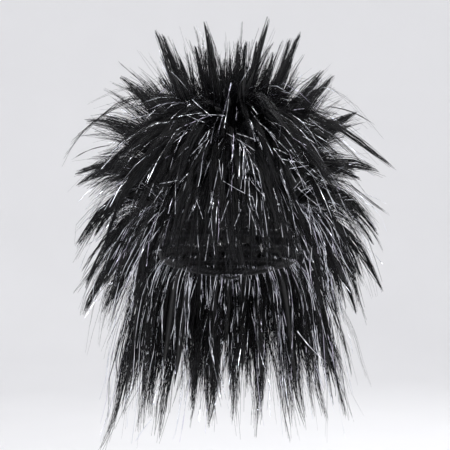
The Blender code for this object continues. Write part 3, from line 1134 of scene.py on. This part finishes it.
def woven_material(name, dark, light, ribs, rib_depth):
    """A ribbon woven with ribs so many millimetres apart, read from the ribbon's own map."""
    material, tree, shader = new_material(name)
    on_map = add(tree, "ShaderNodeUVMap", uv_map="weave")
    lanes = add(
        tree, "ShaderNodeTexWave",
        {"Vector": on_map.outputs["UV"], "Scale": WAVE_PERIOD / ribs, "Distortion": 0.6, "Detail": 2.0},
        bands_direction="Y",
    )
    picks = add(
        tree, "ShaderNodeTexWave",
        {
            "Vector": on_map.outputs["UV"],
            "Scale": WAVE_PERIOD / (0.6 * ribs),
            "Distortion": 0.4,
            "Detail": 1.0,
        },
        bands_direction="X",
    )
    cross = add(
        tree, "ShaderNodeMath",
        {0: lanes.outputs["Fac"], 1: picks.outputs["Fac"]},
        operation="MULTIPLY",
    )
    tones = add(
        tree, "ShaderNodeMix",
        {"Factor": cross.outputs["Value"], "A": linear(dark), "B": linear(light)},
        data_type="RGBA",
    )
    relief = add(
        tree, "ShaderNodeBump",
        {"Height": cross.outputs["Value"], "Strength": 0.7, "Distance": rib_depth},
    )
    tree.links.new(tones.outputs["Result"], shader.inputs["Base Color"])
    tree.links.new(relief.outputs["Normal"], shader.inputs["Normal"])
    shader.inputs["Roughness"].default_value = 0.72
    shader.inputs["Sheen Weight"].default_value = 0.2
    return material


# Rubber cores wrapped in nylon give the elastic its thick ribs. The tape is a finer plain weave
ribbed_elastic = woven_material("ribbed_nylon_elastic", "#141416", "#38383d", 1.0, 0.0003)
weft_tape_weave = woven_material("plain_weave_polyester_tape", "#101012", "#2c2c31", 0.7, 0.0002)

# %% Hem round the cap's edge
HEM_WIDTH = 0.009
HEM_COLUMNS = 120

points, faces, spots = [], [], []
hem_line = []
for i in range(HEM_COLUMNS):
    azimuth = 360 * i / HEM_COLUMNS
    hem_line.append((azimuth, edge_polar(azimuth) - degrees(HEM_WIDTH / 2 / HEAD_HEIGHT)))
ribbon(points, faces, spots, hem_line, HEM_WIDTH, -0.0002, CAP_WALL + 0.0003, True)
cap_hem = ribbon_piece("cap_hem", points, faces, spots, ribbed_elastic)
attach(cap_hem, "root")
print(cap_hem.name, triangles(cap_hem), "triangles")

# %% Tapes of the wefts
TAPE_STEP = 4.0         # degrees between a tape's columns

points, faces, spots = [], [], []
tape_lines = []
for kind in KINDS.values():
    for row in kind.wefts:
        closed = row.end - row.start == 360
        columns = round((row.end - row.start) / TAPE_STEP)
        line = [
            (row.start + (row.end - row.start) * i / columns, row.polar)
            for i in range(columns + (0 if closed else 1))
        ]
        low = CAP_WALL + TAPE_GAP
        ribbon(points, faces, spots, line, TAPE_HEIGHT, low, low + TAPE_THICK, closed)
        tape_lines.append((line, closed))
weft_tapes = ribbon_piece("weft_tapes", points, faces, spots, weft_tape_weave)
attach(weft_tapes, "root")
print(weft_tapes.name, len(tape_lines), "tapes,", triangles(weft_tapes), "triangles")

# %% [markdown]
# ## Stitches
#
# Each tape is sewn to the net from inside with a slanting stitch every 5 mm, and so is the hem.
# Hundreds of equal stitches along lines are work for Geometry Nodes: points at even distances
# along each line, one small arched thread on each point, turned to lie on the cap, and all of them
# realized into one mesh.

# %% Geometry Nodes tree for stitches
stitch_tree = bpy.data.node_groups.new("stitches_on_lines", "GeometryNodeTree")
stitch_tree.is_modifier = True
for name, kind_of_socket in (
    ("Lines", "NodeSocketGeometry"),
    ("Spacing", "NodeSocketFloat"),
    ("Stitch length", "NodeSocketFloat"),
    ("Stitch height", "NodeSocketFloat"),
    ("Thread radius", "NodeSocketFloat"),
    ("Slant", "NodeSocketFloat"),
    ("Material", "NodeSocketMaterial"),
):
    stitch_tree.interface.new_socket(name, in_out="INPUT", socket_type=kind_of_socket)
stitch_tree.interface.new_socket("Stitches", in_out="OUTPUT", socket_type="NodeSocketGeometry")
given = add(stitch_tree, "NodeGroupInput").outputs
lines = add(stitch_tree, "GeometryNodeMeshToCurve", {"Mesh": given["Lines"]})
dots = add(
    stitch_tree, "GeometryNodeCurveToPoints",
    {"Curve": lines.outputs["Curve"], "Length": given["Spacing"]},
    mode="LENGTH",
)
outward = add(stitch_tree, "GeometryNodeInputNamedAttribute", {"Name": "outward"}, data_type="FLOAT_VECTOR")
lie = add(
    stitch_tree, "FunctionNodeAxesToRotation",
    {"Primary Axis": outward.outputs["Attribute"], "Secondary Axis": dots.outputs["Tangent"]},
    primary_axis="Z", secondary_axis="X",
)
lean = add(stitch_tree, "ShaderNodeCombineXYZ", {"Z": given["Slant"]})
lean_turn = add(stitch_tree, "FunctionNodeEulerToRotation", {"Euler": lean.outputs["Vector"]})
leaning = add(
    stitch_tree, "FunctionNodeRotateRotation",
    {"Rotation": lie.outputs["Rotation"], "Rotate By": lean_turn.outputs["Rotation"]},
    rotation_space="LOCAL",
)
half = add(stitch_tree, "ShaderNodeMath", {0: given["Stitch length"], 1: 0.5}, operation="MULTIPLY")
back = add(stitch_tree, "ShaderNodeMath", {0: given["Stitch length"], 1: -0.5}, operation="MULTIPLY")
start = add(stitch_tree, "ShaderNodeCombineXYZ", {"X": back.outputs["Value"]})
end = add(stitch_tree, "ShaderNodeCombineXYZ", {"X": half.outputs["Value"]})
top = add(stitch_tree, "ShaderNodeCombineXYZ", {"Z": given["Stitch height"]})
arch = add(
    stitch_tree, "GeometryNodeCurveQuadraticBezier",
    {
        "Resolution": 3,
        "Start": start.outputs["Vector"],
        "Middle": top.outputs["Vector"],
        "End": end.outputs["Vector"],
    },
)
round_thread = add(
    stitch_tree, "GeometryNodeCurvePrimitiveCircle", {"Resolution": 3, "Radius": 1.0}, mode="RADIUS",
)
stitch = add(
    stitch_tree, "GeometryNodeCurveToMesh",
    {
        "Curve": arch.outputs["Curve"],
        "Profile Curve": round_thread.outputs["Curve"],
        "Scale": given["Thread radius"],
        "Fill Caps": True,
    },
)
sewn = add(
    stitch_tree, "GeometryNodeInstanceOnPoints",
    {
        "Points": dots.outputs["Points"],
        "Instance": stitch.outputs["Mesh"],
        "Rotation": leaning.outputs["Rotation"],
    },
)
smooth = add(stitch_tree, "GeometryNodeSetShadeSmooth", {"Geometry": sewn.outputs["Instances"]})
plain = add(stitch_tree, "GeometryNodeRealizeInstances", {"Geometry": smooth.outputs["Geometry"]})
finished = add(
    stitch_tree, "GeometryNodeSetMaterial",
    {"Geometry": plain.outputs["Geometry"], "Material": given["Material"]},
)
add(stitch_tree, "NodeGroupOutput", {"Stitches": finished.outputs["Geometry"]})

# %% Sewing thread
sewing_thread, tree, shader = new_material("spun_polyester_sewing_thread")
# Two plies twisted together: a little lighter than the tape, with a soft sheen
place = add(tree, "ShaderNodeTexCoord")
plies = add(tree, "ShaderNodeTexNoise", {"Vector": place.outputs["Object"], "Scale": 900.0})
ply_tones = add(
    tree, "ShaderNodeMix",
    {"Factor": plies.outputs["Fac"], "A": linear("#2b2b2f"), "B": linear("#5a5a60")},
    data_type="RGBA",
)
tree.links.new(ply_tones.outputs["Result"], shader.inputs["Base Color"])
shader.inputs["Roughness"].default_value = 0.55
shader.inputs["Sheen Weight"].default_value = 0.3

# %% Sewn lines, on the inside of the net
STITCH_DEPTH = -0.0003

points, edges, outward = [], [], []
for line, closed in tape_lines + [(hem_line, True)]:
    first = len(points)
    for azimuth, polar in line:
        points.append(on_cap(azimuth, polar, STITCH_DEPTH))
        outward.append((points[-1] - on_cap(azimuth, polar, CAP_WALL)).normalized())
    edges += [(i, i + 1) for i in range(first, len(points) - 1)]
    if closed:
        edges.append((len(points) - 1, first))
line_mesh = bpy.data.meshes.new("sewn_lines")
line_mesh.from_pydata(points, edges, [])
layer = line_mesh.attributes.new("outward", "FLOAT_VECTOR", "POINT")
layer.data.foreach_set("vector", [number for vector in outward for number in vector])
stitches = nodes_to_mesh("cap_stitches", line_mesh, stitch_tree, {
    "Spacing": 0.005,
    "Stitch length": 0.0038,
    "Stitch height": 0.0006,
    "Thread radius": 0.00025,
    "Slant": 0.6,
    "Material": sewing_thread,
})
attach(stitches, "root")
print(stitches.name, triangles(stitches), "triangles")

# %% [markdown]
# ## Under hair
#
# A real lock holds far more hairs than can be drawn, and no light comes through its middle. Each
# lock therefore has a dark heart, a tube among its strands. It is wide at the root, where it closes
# the gaps to the next locks, and slim towards the tip. Its surface is combed with fine streaks that
# run along the lock, so that where it shows it looks like the hair in front of it. The streaks
# follow a map: round the tube one way, along it the other.

# %% Combed under hair
combed_hair, tree, shader = new_material("combed_modacrylic_under_hair")
STREAKS = 30            # streaks round one lock
all_locks = [(lock, groom_of(name)) for name, locks in locks_by_weft.items() for lock in locks]
all_locks += [(lock, GROOMS["closing"]) for lock in closing_locks]
on_map = add(tree, "ShaderNodeUVMap", uv_map="OFBake")
stretch = add(
    tree, "ShaderNodeMapping",
    {"Vector": on_map.outputs["UV"], "Scale": (STREAKS * len(all_locks), 6.0, 1.0)},
)
streaks = add(tree, "ShaderNodeTexNoise", {"Vector": stretch.outputs["Vector"], "Scale": 1.0, "Detail": 3.0})
streak_tones = add(tree, "ShaderNodeValToRGB", {"Fac": streaks.outputs["Fac"]})
streak_tones.color_ramp.elements[0].position = 0.35
streak_tones.color_ramp.elements[0].color = linear("#030304")
streak_tones.color_ramp.elements[1].position = 0.70
streak_tones.color_ramp.elements[1].color = linear("#101012")
tree.links.new(streak_tones.outputs["Color"], shader.inputs["Base Color"])
relief = add(tree, "ShaderNodeBump", {"Height": streaks.outputs["Fac"], "Strength": 0.8, "Distance": 0.0006})
tree.links.new(relief.outputs["Normal"], shader.inputs["Normal"])
shader.inputs["Roughness"].default_value = 0.45

# %% Hearts of the locks
# Stops give the heart's width along the lock, as shares of the lock's own
HEART_SIDES = 6
HEART_STOPS = ((0.0, 1.25), (0.12, 1.10), (0.34, 0.74), (0.60, 0.56))
HEART_END = 0.80
LONG_HEART_STOPS = ((0.0, 1.20), (0.2, 0.66), (0.5, 0.58), (0.76, 0.48))
LONG_HEART_END = 0.90
MAP_SHARE = 0.9         # of a heart's column on the map, the rest is a gap to the next heart

heart_points, heart_faces, heart_map = [], [], []
for number, (lock, groom) in enumerate(all_locks):
    column = number / len(all_locks)
    first = len(heart_points)
    hanging = groom is GROOMS["fall"]
    stops, end = (LONG_HEART_STOPS, LONG_HEART_END) if hanging else (HEART_STOPS, HEART_END)
    for along, wide in stops:
        width, thickness = lock.section(along)
        right, up = lock.axes(along)
        for side in range(HEART_SIDES):
            turn = tau * side / HEART_SIDES
            offset = right * cos(turn) * width + up * sin(turn) * thickness
            heart_points.append(groomed(lock, groom, along, groom.sag) + offset * wide / 2)
    heart_points.append(groomed(lock, groom, end, groom.sag))
    point = len(heart_points) - 1
    rows = len(stops)
    strip = MAP_SHARE / len(all_locks) / HEART_SIDES
    heart_faces.append([first + side for side in reversed(range(HEART_SIDES))])
    heart_map.append([(column + strip * side, 0.001 * (side % 2)) for side in reversed(range(HEART_SIDES))])
    for side in range(HEART_SIDES):
        after = (side + 1) % HEART_SIDES
        u0, u1 = column + strip * side, column + strip * (side + 1)
        for row in range(rows - 1):
            low, high = first + row * HEART_SIDES, first + (row + 1) * HEART_SIDES
            v0, v1 = (row + 0.1) / rows, (row + 1.1) / rows
            heart_faces.append([low + side, low + after, high + after, high + side])
            heart_map.append([(u0, v0), (u1, v0), (u1, v1), (u0, v1)])
        low, v0 = first + (rows - 1) * HEART_SIDES, (rows - 0.9) / rows
        heart_faces.append([low + side, low + after, point])
        heart_map.append([(u0, v0), (u1, v0), ((u0 + u1) / 2, 0.99)])
heart_mesh = bpy.data.meshes.new("under_hair")
heart_mesh.from_pydata(heart_points, [], heart_faces)
heart_uv = heart_mesh.uv_layers.new(name="OFBake")
heart_uv.data.foreach_set("uv", [number for face in heart_map for spot in face for number in spot])
heart_mesh.shade_smooth()
heart_mesh.materials.append(combed_hair)
under_hair = link_object("under_hair", heart_mesh)
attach(under_hair, "root")
print(under_hair.name, len(all_locks), "hearts,", triangles(under_hair), "triangles")

# %% [markdown]
# ## Tinsel
#
# Wig tinsel is a polyester film, metallised with aluminium and slit into strips about half a
# millimetre wide. It is sewn into the weft with the hair. It is stiffer than hair, so it keeps long
# slack bends, and it twists, so each strip shows as bright dashes where its flat side meets the
# light. The same tree makes it, with a flat section, a turn or two of twist, and waves that differ
# from strip to strip. There is little of it in the spikes and a lot in the long hair.

# %% Guides of the tinsel
# Strips in a lock, their shortest and longest as shares of it, how much of its section they spread
# over, and how far they stray
Glitter = namedtuple("Glitter", "strips short long spread stray")
GLITTERS = {
    "crown": Glitter(3, 0.40, 0.95, 0.70, 0.024),
    "layer": Glitter(6, 0.40, 1.00, 0.75, 0.024),
    "low_layer": Glitter(14, 0.45, 1.02, 0.80, 0.024),
    "front": Glitter(16, 0.30, 0.95, 0.90, 0.050),
    "temple": Glitter(18, 0.55, 1.05, 0.90, 0.022),
    "fringe": Glitter(3, 0.50, 1.05, 0.80, 0.018),
    "fall": Glitter(25, 0.50, 1.04, 0.85, 0.022),
}
LOOSE_BY = 0.002        # how far past that share of the section a strip may lie


def tinsel_guide(lock, groom, glitter, chance):
    """A guide for one strip, somewhere in a lock or on its surface."""
    side, rise = chance.uniform(-1, 1), chance.choice((-1, 1)) * chance.uniform(0.6, 1)
    length = chance.uniform(glitter.short, glitter.long)
    drift = Vector([chance.uniform(-1, 1) for axis in range(3)]) * glitter.stray
    arch = groom.arch * chance.uniform(0, 1.2)
    points = []
    for i in range(GUIDE_POINTS):
        along = length * i / (GUIDE_POINTS - 1)
        width, thickness = lock.section(along)
        right, up = lock.axes(along)
        point = groomed(lock, groom, along, groom.sag)
        point += right * side * (width * glitter.spread + LOOSE_BY)
        point += up * rise * (thickness * glitter.spread + LOOSE_BY)
        points.append(pressed(point + drift * along ** 1.3 + up * arch * sin(pi * min(along, 1))))
    still = [Vector()] * GUIDE_POINTS
    return Guide(points, still, still, 1, 0.85, 1.0)


# %% Metallised polyester tinsel
tinsel_film, tree, shader = new_material("metallised_polyester_tinsel_film")
# Aluminium seen through clear polyester: a cold mirror, with a faint violet cast on some strips
on_map = add(tree, "ShaderNodeUVMap", uv_map="OFBake")
split_map = add(tree, "ShaderNodeSeparateXYZ", {"Vector": on_map.outputs["UV"]})
casts = add(tree, "ShaderNodeValToRGB", {"Fac": split_map.outputs["X"]})
casts.color_ramp.elements[0].color = linear("#eceef4")
casts.color_ramp.elements[1].color = linear("#dcd4ea")
clear_cast = casts.color_ramp.elements.new(0.8)
clear_cast.color = linear("#e6e8f0")
tree.links.new(casts.outputs["Color"], shader.inputs["Base Color"])
shader.inputs["Metallic"].default_value = 1.0
shader.inputs["Roughness"].default_value = 0.16

# %% Tinsel strips
TINSEL_RADIUS = 0.00038         # of the circle round a strip's section, before it is flattened
tinsel_guides = []
chance = random.Random(7)
for weft_name, locks in locks_by_weft.items():
    groom = groom_of(weft_name)
    glitter = GLITTERS["low_layer" if weft_name in LOW_LAYERS else kind_of[weft_name]]
    for lock in locks:
        tinsel_guides += [tinsel_guide(lock, groom, glitter, chance) for strip in range(glitter.strips)]
STRAY_TINSEL = (
    # three places in the picture as (column, row), depth in metres
    (((186, 372), (181, 410), (172, 449)), 0.035),
    (((190, 380), (184, 418), (180, 446)), 0.045),
    (((152, 420), (140, 434), (133, 447)), 0.030),
    (((296, 330), (312, 352), (326, 362)), 0.010),
    (((214, 152), (226, 110), (236, 78)), -0.060),
)
still = [Vector()] * GUIDE_POINTS
for places, depth in STRAY_TINSEL:
    tinsel_guides.append(Guide(drawn_guide(places, depth, 0, 1).points, still, still, 2, 0.8, 1.0))

# Over the front, short stiff strips lie across the hair, on its rounded outside
CROSSING_STRIPS = 48
CROSSING_COLUMNS = (150, 312)   # of the picture
CROSSING_ROWS = (112, 218)
PARTING = (228, 118)            # where the hair parts in the picture; most strips point away from it
FRONT_RADII = (0.152, 0.126, 0.150)
FRONT_MIDDLE_HEIGHT = -0.030
for strip in range(CROSSING_STRIPS):
    column, row = chance.uniform(*CROSSING_COLUMNS), chance.uniform(*CROSSING_ROWS)
    away = atan2(row - PARTING[1], column - PARTING[0])
    turn, reach = away + chance.gauss(0, 0.4), chance.uniform(6, 16)
    points = []
    for i in range(GUIDE_POINTS):
        step = reach * (2 * i / (GUIDE_POINTS - 1) - 1)
        point = from_picture(column + step * cos(turn), row + step * sin(turn), 0)
        level = (point.x / FRONT_RADII[0]) ** 2 + ((point.z - FRONT_MIDDLE_HEIGHT) / FRONT_RADII[2]) ** 2
        point.y = -FRONT_RADII[1] * sqrt(max(0.05, 1 - level))
        points.append(point)
    tinsel_guides.append(Guide(points, still, still, 1, 0.85, 0.8))
tinsel = nodes_to_mesh("tinsel_strands", guide_mesh("tinsel_guides", tinsel_guides), strand_tree, {
    "Points per strand": 9,
    "Radius": TINSEL_RADIUS,
    "Flatness": 0.22,
    "Taper": 0.0,
    "Smooth": False,
    "Twist": 9.0,
    "Wave height": 0.010,
    "Wave scale": 18.0,
    "Looseness": 9.0,
    "Flyaway": 0.0,
    "Seed": 3,
    "Material": tinsel_film,
})
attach(tinsel, "root")
print(tinsel.name, len(tinsel_guides), "guides,", triangles(tinsel), "triangles")
